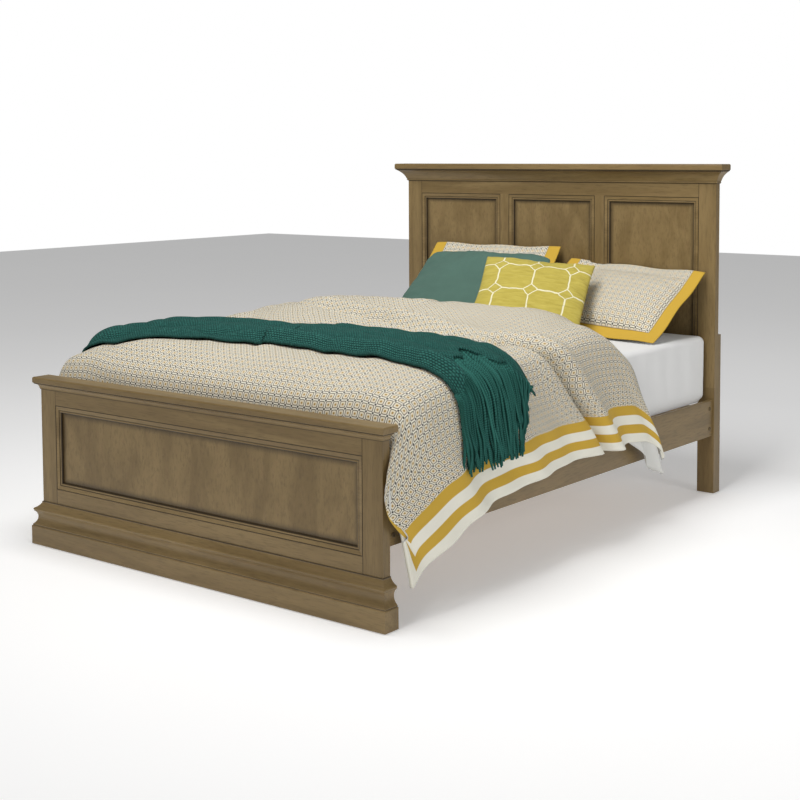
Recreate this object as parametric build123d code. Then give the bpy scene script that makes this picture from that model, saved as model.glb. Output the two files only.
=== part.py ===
from build123d import *
import os

# A queen panel bed, made up with its bedding: a headboard with three panels under a crown, a low
# footboard on a moulded base, two side rails with ledgers and slats, a centre beam on legs, and the
# mattress, sheet, comforter, throw and pillows on top.
# All sizes are in millimetres. The origin is on the floor under the middle of the bed, with +X to
# the right seen from the foot, +Y from the foot to the head, and +Z up.

# Mattress, which the frame is built round
mattress_width = 1516
mattress_length = 2030
mattress_thickness = 278
mattress_side_gap = 4
mattress_head_gap = 12
mattress_foot_gap = 74
mattress_recess = 14
mattress_corner_radius = 70
mattress_edge_radius = 42
sheet_thickness = 1.5
cloth_gap = 0.3

# Side rails and what carries the mattress
rail_thickness = 20
rail_height = 148
rail_bottom = 241
rail_inset = 8
rail_edge_radius = 2
ledger_width = 25
ledger_height = 30
ledger_end_gap = 72
slat_count = 11
slat_width = 89
slat_thickness = 20
slat_end_gap = 5
slat_first_inset = 90
beam_width = 45
beam_height = 65
beam_end_gap = 40
centre_leg_side = 45
centre_leg_inset = 480

# Frame members shared by the headboard and the footboard
stile_width = 78
tenon_length = 30
tenon_thickness = 10
tenon_shoulder = 12
joint_clearance = 0.2
joint_line_chamfer = 1.0
panel_thickness = 12
panel_recess = 13
panel_groove_depth = 10
panel_edge_gap = 1
panel_moulding_width = 25

# Headboard
headboard_height = 1352
headboard_thickness = 30
headboard_bottom = 438
headboard_top_rail_height = 112
headboard_bottom_rail_height = 102
mullion_width = 47
crown_board_thickness = 24
crown_height = 56
crown_overhang = 47
crown_step = 3
leg_width = 74
leg_depth = 54
leg_top = 655

# Footboard
footboard_height = 609
footboard_thickness = 33
footboard_top_rail_height = 76
footboard_bottom_rail_edge = 209
footboard_bottom_rail_bottom = 40
cap_thickness = 21
cap_overhang = 22
cap_back_overhang = 15
cap_moulding_height = 24
cap_step = 3
board_edge_radius = 6
base_projection = 31
base_height = 156
plinth_height = 70
plinth_step = 3.5
plinth_edge_radius = 4

# Hardware
glide_height = 3
glide_radius = 11
glide_pin_radius = 1.5
glide_pin_length = 12
pin_clearance = 0.2
bracket_thickness = 3
bracket_reach = 60
bracket_flange = 36
bracket_height = 116
bolt_radius = 4
bolt_head_radius = 8
bolt_head_height = 3.5
bolt_end_distance = 25
bolt_spacing = 82
bolt_clearance = 0.3
nut_across_flats = 13
nut_height = 6.5
screw_radius = 2
screw_head_radius = 4.2
screw_clearance = 0.2
leg_screw_radius = 3
leg_screw_head_radius = 6.5
leg_screw_spacing = 75

# Bedding
comforter_top = 97
comforter_rise = 50
comforter_loft = 30
comforter_side_flare = 62
comforter_hem_thickness = 24
comforter_foot_gap = 3
comforter_head_inset = 686
comforter_crest_inset = 833
comforter_nose_depth = 95
comforter_tail_thickness = 24
comforter_flap_reach = 263
comforter_flap_drop = 40
comforter_corner_height = 112
comforter_hem_height = 340
comforter_flap_height = 225
throw_thickness = 13
throw_start = 270
throw_width = 500
throw_drop = 18
fringe_length = 235
pillow_row_middle = 76
sham_gap = 12
sham_width = 690
sham_height = 465
sham_thickness = 120
teal_pillow_width = 650
teal_pillow_height = 465
teal_pillow_thickness = 110
cushion_side = 425
cushion_thickness = 105

# Places that follow from the sizes above
rail_length = mattress_foot_gap + mattress_length + mattress_head_gap
base_depth = base_projection + footboard_thickness
overall_length = base_depth + rail_length + leg_depth
base_front = -overall_length / 2
foot_front = base_front + base_projection
foot_back = base_front + base_depth
head_front = foot_back + rail_length
head_back = head_front + headboard_thickness
leg_back = head_front + leg_depth
rail_inner = mattress_width / 2 + mattress_side_gap
rail_outer = rail_inner + rail_thickness
frame_half = rail_outer + rail_inset
stile_inner = frame_half - stile_width
rail_top = rail_bottom + rail_height
slat_top = rail_top - mattress_recess
slat_bottom = slat_top - slat_thickness
beam_bottom = slat_bottom - beam_height
mattress_bottom = slat_top + cloth_gap
mattress_top = mattress_bottom + mattress_thickness
mattress_foot = foot_back + mattress_foot_gap
mattress_head = head_front - mattress_head_gap
sheet_top = mattress_top + cloth_gap + sheet_thickness
cap_bottom = footboard_height - cap_thickness
crown_board_bottom = headboard_height - crown_board_thickness
headboard_top_rail_edge = crown_board_bottom - headboard_top_rail_height
footboard_top_rail_edge = cap_bottom - footboard_top_rail_height
bolt_heights = [rail_bottom + rail_height / 2 + side * bolt_spacing / 2 for side in (-1, 1)]


def block(x0, x1, y0, y1, z0, z1):
    """A box between two corners."""
    middle = Pos((x0 + x1) / 2, (y0 + y1) / 2, (z0 + z1) / 2)
    return middle * Box(x1 - x0, y1 - y0, z1 - z0)


def mirrored(x0, x1, side):
    """The X span between two distances from the bed's middle, on one side of it."""
    return (x0, x1) if side > 0 else (-x1, -x0)


def side_block(side, x0, x1, y0, y1, z0, z1):
    """A box given by its distances from the bed's middle, on one side of it."""
    left, right = mirrored(x0, x1, side)
    return block(left, right, y0, y1, z0, z1)


def plan(points, z0, z1):
    """A prism that stands on an outline drawn from above."""
    return extrude(Pos(0, 0, z0) * make_face(Polyline(*points, close=True)), z1 - z0)


def seen_from_front(face, y0, y1):
    """A prism along Y from a face drawn in X and Z."""
    return extrude(Plane.XZ.offset(-y0) * face, y1 - y0, dir=(0, 1, 0))


def seen_from_side(face, x0, x1):
    """A prism along X from a face drawn in Y and Z."""
    return extrude(Plane.YZ.offset(x0) * face, x1 - x0, dir=(1, 0, 0))


def rod(radius, start, end):
    """A round bar between two points."""
    line = Vector(*end) - Vector(*start)
    return extrude(Plane(origin=start, z_dir=line) * Circle(radius), line.length)


def save(name, *shapes):
    """Writes one node, as a group where it has more than one solid."""
    solids = [solid for shape in shapes for solid in shape.solids()]
    node = solids[0] if len(solids) == 1 else Compound(children=solids)
    node.label = name
    export_step(node, f"parts/{name}.step")


def wrapped_strips(profile, face_y, back_y, reach):
    """A strip across the front and one along each side, mitred at the two front corners.

    The profile is drawn as distance out from the frame and height."""
    a, m = frame_half, reach
    across = Plane(origin=(a + m, face_y, 0), x_dir=(0, -1, 0), z_dir=(-1, 0, 0))
    front = extrude(across * profile, 2 * (a + m))
    corners = [(-a - m, face_y - m), (a + m, face_y - m), (a, face_y), (-a, face_y)]
    strips = [front & plan(corners, 0, headboard_height)]
    for side in (-1, 1):
        along = Plane(origin=(side * a, back_y if side > 0 else face_y - m, 0), x_dir=(side, 0, 0),
                      z_dir=(0, -side, 0))
        length = back_y - face_y + m
        strip = extrude(along * profile, length)
        corners = [(side * a, face_y), (side * (a + m), face_y - m), (side * (a + m), back_y),
                   (side * a, back_y)]
        strips.append(strip & plan(corners, 0, headboard_height))
    return strips


def framed_strips(x0, x1, z0, z1, back_y):
    """Four mitred strips of panel moulding round an opening, standing on the panel's face."""
    m = panel_moulding_width
    profile = panel_moulding_profile()
    runs = {
        "left": (Plane(origin=(x0, back_y, z1), x_dir=(1, 0, 0), z_dir=(0, 0, -1)), z1 - z0,
                 [(x0, z0), (x0 + m, z0 + m), (x0 + m, z1 - m), (x0, z1)]),
        "right": (Plane(origin=(x1, back_y, z0), x_dir=(-1, 0, 0), z_dir=(0, 0, 1)), z1 - z0,
                  [(x1, z0), (x1, z1), (x1 - m, z1 - m), (x1 - m, z0 + m)]),
        "bottom": (Plane(origin=(x0, back_y, z0), x_dir=(0, 0, 1), z_dir=(1, 0, 0)), x1 - x0,
                   [(x0, z0), (x1, z0), (x1 - m, z0 + m), (x0 + m, z0 + m)]),
        "top": (Plane(origin=(x1, back_y, z1), x_dir=(0, 0, -1), z_dir=(-1, 0, 0)), x1 - x0,
                [(x0, z1), (x0 + m, z1 - m), (x1 - m, z1 - m), (x1, z1)]),
    }
    strips = []
    for plane, length, corners in runs.values():
        mitre = seen_from_front(make_face(Polyline(*corners, close=True)), back_y - panel_recess, back_y)
        strips.append(extrude(plane * profile, length) & mitre)
    return strips


def panel_moulding_profile():
    """A quirk at the frame, a wide sloping face, a step, and a bead above a drop to the panel."""
    w, h = panel_moulding_width, panel_recess
    slope_end = 0.64 * w
    bead_top, lip = h - 4.6, h - 7
    edges = Polyline((w, lip), (w, 0), (0, 0), (0, h - 1.8), (1.2, h - 1.8), (1.8, h - 0.6))
    edges += Polyline((1.8, h - 0.6), (slope_end, h - 3), (slope_end, bead_top), (slope_end + 1, bead_top))
    edges += ThreePointArc((slope_end + 1, bead_top), (w - 1.6, lip + 1.9), (w, lip))
    return make_face(edges.edges())


def crown_profile():
    """From the bottom: a fillet, a small bead, a cove leaning out, and a fillet under the board."""
    low, high = crown_board_bottom - crown_height, crown_board_bottom
    out = crown_overhang - crown_step
    bead = low + 9
    edges = Polyline((0, high), (0, low), (2.5, low), (2.5, low + 2))
    edges += ThreePointArc((2.5, low + 2), (6.2, low + 5), (3.5, bead))
    edges += Polyline((3.5, bead), (5.5, bead), (7, bead + 2))
    edges += ThreePointArc((7, bead + 2), (0.47 * out, low + 0.62 * crown_height), (out - 4, high - 6))
    edges += Polyline((out - 4, high - 6), (out - 4, high - 4.5), (out, high - 4.5), (out, high),
                      (0, high))
    return make_face(edges.edges())


def cap_moulding_profile():
    """A fillet, a cove and a second fillet under the footboard's cap."""
    low, high = cap_bottom - cap_moulding_height, cap_bottom
    out = cap_overhang - cap_step
    edges = Polyline((0, high), (0, low), (2.5, low), (2.5, low + 3.5), (4, low + 3.5))
    edges += ThreePointArc((4, low + 3.5), (0.4 * out, low + 0.6 * cap_moulding_height),
                           (out - 2.5, high - 4.5))
    edges += Polyline((out - 2.5, high - 4.5), (out - 2.5, high - 3), (out, high - 3), (out, high),
                      (0, high))
    return make_face(edges.edges())


def plinth_profile():
    """The plain board at the foot of the base, with a rounded top edge."""
    out, r = base_projection, plinth_edge_radius
    edges = Polyline((0, plinth_height), (0, glide_height), (out, glide_height), (out, plinth_height - r))
    edges += RadiusArc((out, plinth_height - r), (out - r, plinth_height), -r)
    edges += Line((out - r, plinth_height), (0, plinth_height))
    return make_face(edges.edges())


def base_moulding_profile():
    """From the plinth up: a fillet, a deep cove, a step, a round nose and a hollow up to the frame."""
    low, high = plinth_height, base_height
    tall = high - low
    foot = base_projection - plinth_step
    nose = base_projection - 5
    edges = Polyline((0, high), (0, low), (foot, low), (foot, low + 4), (foot - 2, low + 6))
    edges += ThreePointArc((foot - 2, low + 6), (0.45 * base_projection, low + 0.36 * tall),
                           (nose - 4, low + 0.6 * tall))
    edges += Polyline((nose - 4, low + 0.6 * tall), (nose - 2, low + 0.6 * tall),
                      (nose - 2, low + 0.63 * tall))
    edges += ThreePointArc((nose - 2, low + 0.63 * tall), (nose, low + 0.68 * tall),
                           (nose - 4, low + 0.74 * tall))
    edges += ThreePointArc((nose - 4, low + 0.74 * tall), (0.27 * base_projection, high - 12),
                           (3.5, high - 4))
    edges += Polyline((3.5, high - 4), (3.5, high), (0, high))
    return make_face(edges.edges())


def edge_board(half_width, y0, y1, z0, z1):
    """A flat board with its front and side edges rounded, as on top of the crown and the footboard."""
    board = block(-half_width, half_width, y0, y1, z0, z1)
    top = [e for e in board.edges() if abs(e.center().Z - z1) < 0.01 and e.center().Y < y1 - 0.01]
    board = fillet(top, board_edge_radius)
    low = [e for e in board.edges() if abs(e.center().Z - z0) < 0.01 and e.center().Y < y1 - 0.01]
    return fillet(low, board_edge_radius / 3)


def panel_groove(x0, x1, z0, z1, face_y):
    """The space that a panel's edges need in the frame round an opening."""
    g, c = panel_groove_depth, joint_clearance
    front = face_y + panel_recess
    return block(x0 - g, x1 + g, front - c, front + panel_thickness + c, z0 - g, z1 + g)


def panel(x0, x1, z0, z1, face_y):
    """A flat panel whose edges sit in the grooves of the frame."""
    g = panel_groove_depth - panel_edge_gap
    front = face_y + panel_recess
    return block(x0 - g, x1 + g, front, front + panel_thickness, z0 - g, z1 + g)


def tenon(x0, x1, z0, z1, face_y, thickness, grow=0.0):
    """A tenon, or with grow its mortise, in the middle of the frame's thickness behind the panel."""
    front = face_y + thickness - tenon_thickness - 4
    return block(x0 - grow, x1 + grow, front - grow, front + tenon_thickness + grow, z0 - grow, z1 + grow)


def rail_tenons(low, high, face_y, thickness, grow=0.0):
    """The two end tenons of a rail between the stiles."""
    z0, z1 = low + tenon_shoulder, high - tenon_shoulder
    reach = stile_inner + tenon_length
    ends = [tenon(*mirrored(stile_inner - 1, reach, side), z0, z1, face_y, thickness, grow)
            for side in (-1, 1)]
    return ends[0] + ends[1]


def stile(side, face_y, thickness, low, high, cutters):
    """An upright of a frame, with the joint line eased on its inner front corner."""
    post = side_block(side, stile_inner, frame_half, face_y, face_y + thickness, low, high)
    inner = [e for e in post.edges() if abs(abs(e.center().X) - stile_inner) < 0.01
             and abs(e.center().Y - face_y) < 0.01]
    post = chamfer(inner, joint_line_chamfer)
    for cutter in cutters:
        post -= cutter
    return post


def glide_pin_hole(x, y):
    """The hole for a glide's pin."""
    top = glide_height + glide_pin_length + pin_clearance
    return rod(glide_pin_radius + pin_clearance, (x, y, 0), (x, y, top))


def glide(x, y):
    """A nail-on glide: a domed disc with its pin."""
    disc = fillet(Cylinder(glide_radius, glide_height).edges().sort_by(Axis.Z)[0], 1.2)
    disc = Pos(x, y, glide_height / 2) * disc
    return disc + rod(glide_pin_radius, (x, y, glide_height - 0.5), (x, y, glide_height + glide_pin_length))


foot_glides = [(side * (frame_half - stile_width / 2), foot_front + footboard_thickness / 2)
               for side in (-1, 1)]
plinth_glides = [(side * frame_half / 2, base_front + base_projection / 2) for side in (-1, 1)]
leg_glides = [(side * (frame_half - leg_width / 2), head_front + leg_depth / 2) for side in (-1, 1)]
centre_glides = [(0, foot_back + centre_leg_inset), (0, head_front - centre_leg_inset)]


def headboard_openings():
    """The three panel openings, as left and right edges."""
    width = (2 * stile_inner - 2 * mullion_width) / 3
    starts = [-stile_inner + i * (width + mullion_width) for i in range(3)]
    return [(start, start + width) for start in starts]


def make_headboard():
    low, high = headboard_bottom + headboard_bottom_rail_height, headboard_top_rail_edge
    depth = headboard_thickness
    openings = headboard_openings()
    grooves = [panel_groove(x0, x1, low, high, head_front) for x0, x1 in openings]
    tenon_mortises = [rail_tenons(high, crown_board_bottom, head_front, depth, joint_clearance),
                      rail_tenons(headboard_bottom, low, head_front, depth, joint_clearance)]
    screw_holes = headboard_leg_screws(screw_clearance)
    for name, side in (("left", -1), ("right", 1)):
        post = stile(side, head_front, depth, headboard_bottom, crown_board_bottom,
                     grooves + tenon_mortises + screw_holes)
        save(f"headboard_{name}_stile", post)

    mullion_spans = [(openings[0][1], openings[1][0]), (openings[1][1], openings[2][0])]
    for name, z0, z1 in (("top", high, crown_board_bottom), ("bottom", headboard_bottom, low)):
        rail = block(-stile_inner, stile_inner, head_front, head_back, z0, z1)
        rail += rail_tenons(z0, z1, head_front, depth)
        for groove in grooves:
            rail -= groove
        for x0, x1 in mullion_spans:
            edge = low if name == "bottom" else high
            rail -= mullion_tenon(x0, x1, edge, joint_clearance)
        save(f"headboard_{name}_rail", rail)

    for name, (x0, x1) in zip(("left", "right"), mullion_spans):
        bar = block(x0, x1, head_front, head_back, low, high)
        front_edges = [e for e in bar.edges() if abs(e.center().Y - head_front) < 0.01
                       and abs(e.center().Z - (low + high) / 2) < 1]
        bar = chamfer(front_edges, joint_line_chamfer)
        for groove in grooves:
            bar -= groove
        for edge in (low, high):
            bar += mullion_tenon(x0, x1, edge, 0)
        save(f"headboard_{name}_mullion", bar)

    for name, (x0, x1) in zip(("left", "centre", "right"), openings):
        save(f"headboard_{name}_panel", panel(x0, x1, low, high, head_front))
        strips = framed_strips(x0, x1, low, high, head_front + panel_recess)
        save(f"headboard_{name}_panel_moulding", *strips)

    board = edge_board(frame_half + crown_overhang, head_front - crown_overhang, head_back,
                       crown_board_bottom, headboard_height)
    save("headboard_cap_board", board)
    strips = wrapped_strips(crown_profile(), head_front, head_back, crown_overhang)
    save("headboard_crown_moulding", *strips)


def mullion_tenon(x0, x1, edge, grow):
    """A mullion's stub tenon in a rail, clear of the panel grooves on both sides."""
    inset = panel_groove_depth + 2
    reach = tenon_length / 2
    return tenon(x0 + inset, x1 - inset, edge - reach, edge + reach, head_front, headboard_thickness, grow)


def headboard_leg_screws(grow=0.0):
    """Countersunk screws from the back of each leg's tongue into the stile."""
    screws = []
    middle = (headboard_bottom + leg_top) / 2
    for side in (-1, 1):
        x = side * (frame_half - leg_width / 2)
        for z in (middle - leg_screw_spacing, middle, middle + leg_screw_spacing):
            tip = head_front + 6 - grow
            shank = rod(leg_screw_radius + grow, (x, tip, z), (x, leg_back, z))
            head = countersink(leg_screw_radius, leg_screw_head_radius, grow)
            screws.append(shank + Pos(x, leg_back, z) * Rot(90, 0, 0) * head)
    return screws


def countersink(radius, head_radius, grow):
    """A countersunk head with its flat face at Z 0 and its cone towards +Z."""
    depth = head_radius - radius
    outline = [(0, 0), (head_radius + grow, 0), (radius + grow, depth), (0, depth)]
    face = make_face(Polyline(*outline, close=True))
    return revolve(Plane.XZ * face, Axis.Z)


def make_legs():
    screw_holes = headboard_leg_screws(screw_clearance)
    bracket_holes = bracket_screws(screw_clearance)
    for name, side in (("left", -1), ("right", 1)):
        leg = side_block(side, frame_half - leg_width, frame_half, head_front, leg_back,
                         glide_height, leg_top)
        leg -= side_block(side, 0, frame_half + 1, head_front - 1, head_back,
                          headboard_bottom, leg_top + 1)
        for cutter in screw_holes + bracket_holes + [glide_pin_hole(x, y) for x, y in leg_glides]:
            leg -= cutter
        save(f"headboard_{name}_leg", leg)
    save("headboard_leg_screws", *headboard_leg_screws())


def make_footboard():
    low, high = footboard_bottom_rail_edge, footboard_top_rail_edge
    depth = footboard_thickness
    groove = panel_groove(-stile_inner, stile_inner, low, high, foot_front)
    mortises = [rail_tenons(high, cap_bottom, foot_front, depth, joint_clearance),
                rail_tenons(footboard_bottom_rail_bottom, low, foot_front, depth, joint_clearance)]
    holes = [glide_pin_hole(x, y) for x, y in foot_glides] + bracket_screws(screw_clearance)
    for name, side in (("left", -1), ("right", 1)):
        post = stile(side, foot_front, depth, glide_height, cap_bottom, [groove] + mortises + holes)
        save(f"footboard_{name}_stile", post)
    for name, z0, z1 in (("top", high, cap_bottom), ("bottom", footboard_bottom_rail_bottom, low)):
        rail = block(-stile_inner, stile_inner, foot_front, foot_back, z0, z1)
        rail += rail_tenons(z0, z1, foot_front, depth)
        save(f"footboard_{name}_rail", rail - groove)
    save("footboard_panel", panel(-stile_inner, stile_inner, low, high, foot_front))
    strips = framed_strips(-stile_inner, stile_inner, low, high, foot_front + panel_recess)
    save("footboard_panel_moulding", *strips)

    board = edge_board(frame_half + cap_overhang, foot_front - cap_overhang, foot_back + cap_back_overhang,
                       cap_bottom, footboard_height)
    save("footboard_cap_board", board)
    strips = wrapped_strips(cap_moulding_profile(), foot_front, foot_back, cap_overhang)
    save("footboard_cap_moulding", *strips)
    plinth = wrapped_strips(plinth_profile(), foot_front, foot_back, base_projection)
    for x, y in plinth_glides:
        plinth = [strip - glide_pin_hole(x, y) for strip in plinth]
    save("footboard_plinth", *plinth)
    strips = wrapped_strips(base_moulding_profile(), foot_front, foot_back, base_projection)
    save("footboard_base_moulding", *strips)


def bracket_ends():
    """Each bracket's place: side of the bed, face it is screwed to, and the way the rail runs."""
    faces = ((foot_back, 1), (head_front, -1))
    return [(side, face, way) for side in (-1, 1) for face, way in faces]


def rail_bolts(grow=0.0):
    """Round-headed bolts through the rail and the bracket, two at each end of each rail."""
    bolts = []
    for side, face, way in bracket_ends():
        y = face + way * bolt_end_distance
        for z in bolt_heights:
            inner = rail_inner - bracket_thickness - nut_height - 2
            bolt = rod(bolt_radius + grow, (side * inner, y, z), (side * rail_outer, y, z))
            if not grow:
                bolt += bolt_head(side, y, z)
            bolts.append(bolt)
    return bolts


def bolt_head(side, y, z):
    """A low round head with a hexagon socket."""
    head = Cylinder(bolt_head_radius, bolt_head_height)
    head = fillet(head.edges().sort_by(Axis.Z)[-1], bolt_head_height * 0.8)
    socket = extrude(Pos(0, 0, bolt_head_height / 2) * RegularPolygon(2.9, 6), -1.8)
    return Pos(side * (rail_outer + bolt_head_height / 2), y, z) * Rot(0, side * 90, 0) * (head - socket)


def rail_nuts():
    """A hexagon nut on each bolt, on the inside of its bracket."""
    nuts = []
    for side, face, way in bracket_ends():
        y = face + way * bolt_end_distance
        for z in bolt_heights:
            x = side * (rail_inner - bracket_thickness)
            plane = Plane(origin=(x, y, z), z_dir=(-side, 0, 0))
            nut = extrude(plane * RegularPolygon(nut_across_flats / 2, 6, major_radius=False), nut_height)
            nuts.append(nut - rod(bolt_radius + bolt_clearance, (0, y, z), (side * rail_outer, y, z)))
    return nuts


def bracket_screws(grow=0.0):
    """Screws that hold each bracket's flange to the leg or to the footboard's stile."""
    screws = []
    for side, face, way in bracket_ends():
        x = side * (rail_inner - bracket_flange / 2 - bracket_thickness)
        for z in [height + offset for height, offset in zip(bolt_heights, (8, -8))]:
            surface = face + way * bracket_thickness
            shank = rod(leg_screw_radius + grow, (x, face - way * (26 + grow), z), (x, surface, z))
            if not grow:
                head = Plane(origin=(x, surface, z), z_dir=(0, way, 0)) * Circle(leg_screw_head_radius)
                shank += fillet(extrude(head, 3).edges().sort_by(Axis.Y)[-1 if way > 0 else 0], 1.8)
            screws.append(shank)
    return screws


def make_brackets():
    brackets = []
    z0 = rail_bottom + (rail_height - bracket_height) / 2 - 1
    z1 = z0 + bracket_height
    for side, face, way in bracket_ends():
        near, far = sorted((face, face + way * bracket_reach))
        on_rail = side_block(side, rail_inner - bracket_thickness, rail_inner, near, far, z0, z1)
        near, far = sorted((face, face + way * bracket_thickness))
        on_post = side_block(side, rail_inner - bracket_thickness - bracket_flange, rail_inner,
                             near, far, z0, z1)
        angle = on_rail + on_post
        for cutter in rail_bolts(bolt_clearance) + bracket_screws(screw_clearance):
            angle -= cutter
        brackets.append(angle)
    save("rail_brackets", *brackets)
    save("rail_bolts", *rail_bolts())
    save("rail_bolt_nuts", *rail_nuts())
    save("bracket_screws", *bracket_screws())


def slat_places():
    """The middle of each slat along the bed."""
    first = foot_back + slat_first_inset + slat_width / 2
    last = head_front - slat_first_inset - slat_width / 2
    return [first + i * (last - first) / (slat_count - 1) for i in range(slat_count)]


def ledger_screws(grow=0.0):
    """Screws through each ledger into its rail, midway between slats."""
    places = slat_places()
    screws = []
    for side in (-1, 1):
        for before, after in zip(places[:-1], places[1:]):
            y = (before + after) / 2
            z = slat_bottom - ledger_height / 2
            inner = rail_inner - ledger_width
            shank = rod(screw_radius + grow, (side * inner, y, z), (side * (rail_inner + 14 + grow), y, z))
            head = countersink(screw_radius, screw_head_radius, grow)
            screws.append(shank + Pos(side * inner, y, z) * Rot(0, side * 90, 0) * head)
    return screws


def slat_screws(grow=0.0):
    """A screw down through each end of each slat into the ledger, and one into the beam."""
    x_end = rail_inner - ledger_width / 2
    screws = []
    for y in slat_places():
        for x in (-x_end, 0, x_end):
            shank = rod(screw_radius + grow, (x, y, slat_bottom - 18 - grow), (x, y, slat_top))
            head = countersink(screw_radius, screw_head_radius, grow)
            screws.append(shank + Pos(x, y, slat_top) * Rot(180, 0, 0) * head)
    return screws


def make_rails_and_slats():
    bolt_holes = rail_bolts(bolt_clearance)
    ledger_holes = ledger_screws(screw_clearance)
    slat_holes = slat_screws(screw_clearance)
    for name, side in (("left", -1), ("right", 1)):
        rail = side_block(side, rail_inner, rail_outer, foot_back, head_front, rail_bottom, rail_top)
        rail = fillet(rail.edges().filter_by(Axis.Y), rail_edge_radius)
        for cutter in bolt_holes + ledger_holes:
            rail -= cutter
        save(f"{name}_side_rail", rail)
        ledger = side_block(side, rail_inner - ledger_width, rail_inner, foot_back + ledger_end_gap,
                            head_front - ledger_end_gap, slat_bottom - ledger_height, slat_bottom)
        for cutter in ledger_holes + slat_holes:
            ledger -= cutter
        save(f"{name}_slat_ledger", ledger)
    save("ledger_screws", *ledger_screws())
    half = rail_inner - slat_end_gap
    for number, y in enumerate(slat_places(), 1):
        slat = block(-half, half, y - slat_width / 2, y + slat_width / 2, slat_bottom, slat_top)
        for cutter in slat_holes[3 * number - 3:3 * number]:
            slat -= cutter
        save(f"slat_{number:02d}", slat)
    save("slat_screws", *slat_screws())

    beam = block(-beam_width / 2, beam_width / 2, foot_back + beam_end_gap, head_front - beam_end_gap,
                 beam_bottom, slat_bottom)
    for cutter in slat_holes:
        beam -= cutter
    save("centre_beam", beam)
    half = centre_leg_side / 2
    for name, (x, y) in zip(("foot_end", "head_end"), centre_glides):
        leg = block(x - half, x + half, y - half, y + half, glide_height, beam_bottom)
        leg = chamfer(leg.edges().filter_by(Axis.Z), 2) - glide_pin_hole(x, y)
        save(f"centre_leg_{name}", leg)
    save("floor_glides", *[glide(x, y) for x, y in foot_glides + plinth_glides + leg_glides + centre_glides])


def soft_block(grow, low, top):
    """The mattress's rounded block, grown on its sides and cut at the given heights."""
    half = mattress_width / 2 + grow
    body = block(-half, half, mattress_foot - grow, mattress_head + grow, low, top)
    body = fillet(body.edges().filter_by(Axis.Z), mattress_corner_radius + grow)
    return fillet(body.faces().sort_by(Axis.Z)[-1].edges(), mattress_edge_radius + grow)


def make_mattress():
    mattress = soft_block(0, mattress_bottom, mattress_top)
    save("mattress", mattress)
    hem = mattress_bottom + 12
    outer = soft_block(cloth_gap + sheet_thickness, hem, sheet_top)
    inner = soft_block(cloth_gap, hem - 1, mattress_top + cloth_gap)
    save("fitted_sheet", outer - inner)


def comforter_across(grow):
    """The comforter's outline across the bed, filled down to the hem, grown outwards for the throw."""
    half = mattress_width / 2
    top = sheet_top + comforter_top + comforter_rise + grow
    out = rail_outer + comforter_side_flare + comforter_hem_thickness + grow
    side = [(out, 60), (out - 26, 300), (rail_outer + comforter_loft + grow, 460),
            (half + comforter_loft + 6 + grow, sheet_top - 40),
            (half - 6 + 0.8 * grow, sheet_top + 52 + 0.6 * grow),
            (half - 130, sheet_top + comforter_top + 6 + grow), (half - 390, top - 12)]
    points = side + [(0, top)] + [(-x, z) for x, z in reversed(side)]
    return make_face(Spline(*points) + Line(points[-1], points[0]))


def comforter_along(grow):
    """The comforter's outline along the bed, filled: low over the foot, highest before the pillows.

    Past the crest it drops to a thin tail on the mattress, and its sides hang further towards the head."""
    foot = foot_back + cap_back_overhang + comforter_foot_gap - grow
    base = sheet_top + comforter_top + grow
    crest = base + comforter_rise
    crest_y = mattress_head - comforter_crest_inset
    nose_y = crest_y + comforter_nose_depth + grow
    tail_y, tail = mattress_head - comforter_head_inset, sheet_top + comforter_tail_thickness
    flap_y, flap = tail_y + comforter_flap_reach, sheet_top - comforter_flap_drop
    rise = [(foot + 6, footboard_height + 10), (foot + 60, sheet_top + 46 + grow), (foot + 190, base - 14),
            (foot + 420, base + 2), (foot + 760, base + 4), (foot + 1040, crest - 4), (crest_y, crest)]
    nose = [(crest_y, crest), (nose_y - 22, crest - 38), (nose_y, tail + 16)]
    fall = [nose[-1], (tail_y, tail), (tail_y, flap), (flap_y, flap), (flap_y, 60), (foot, 60),
            (foot, rise[0][1] - 30), rise[0]]
    return make_face(Spline(*rise) + ThreePointArc(*nose) + Polyline(*fall))


def comforter_envelope(grow):
    """The filled outer form of the comforter: its outline across the bed and along it."""
    wide = rail_outer + 200
    across = seen_from_front(comforter_across(grow), foot_back, mattress_head)
    return across & seen_from_side(comforter_along(grow), -wide, wide)


def under_comforter():
    """What the comforter lies on: the sheet and mattress, and the room down to the floor past the rails."""
    half = mattress_width / 2
    body = half + 2 * cloth_gap + sheet_thickness
    out = rail_outer + comforter_side_flare
    points = [(out, 50), (out - 24, 300), (rail_outer + 4, rail_top + 12), (body, rail_top + 120),
              (body, sheet_top + cloth_gap)]
    points += [(-x, z) for x, z in reversed(points)]
    start = mattress_foot - 2 * cloth_gap - sheet_thickness
    return seen_from_front(make_face(Polyline(*points, close=True)), start, mattress_head + 50)


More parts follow.
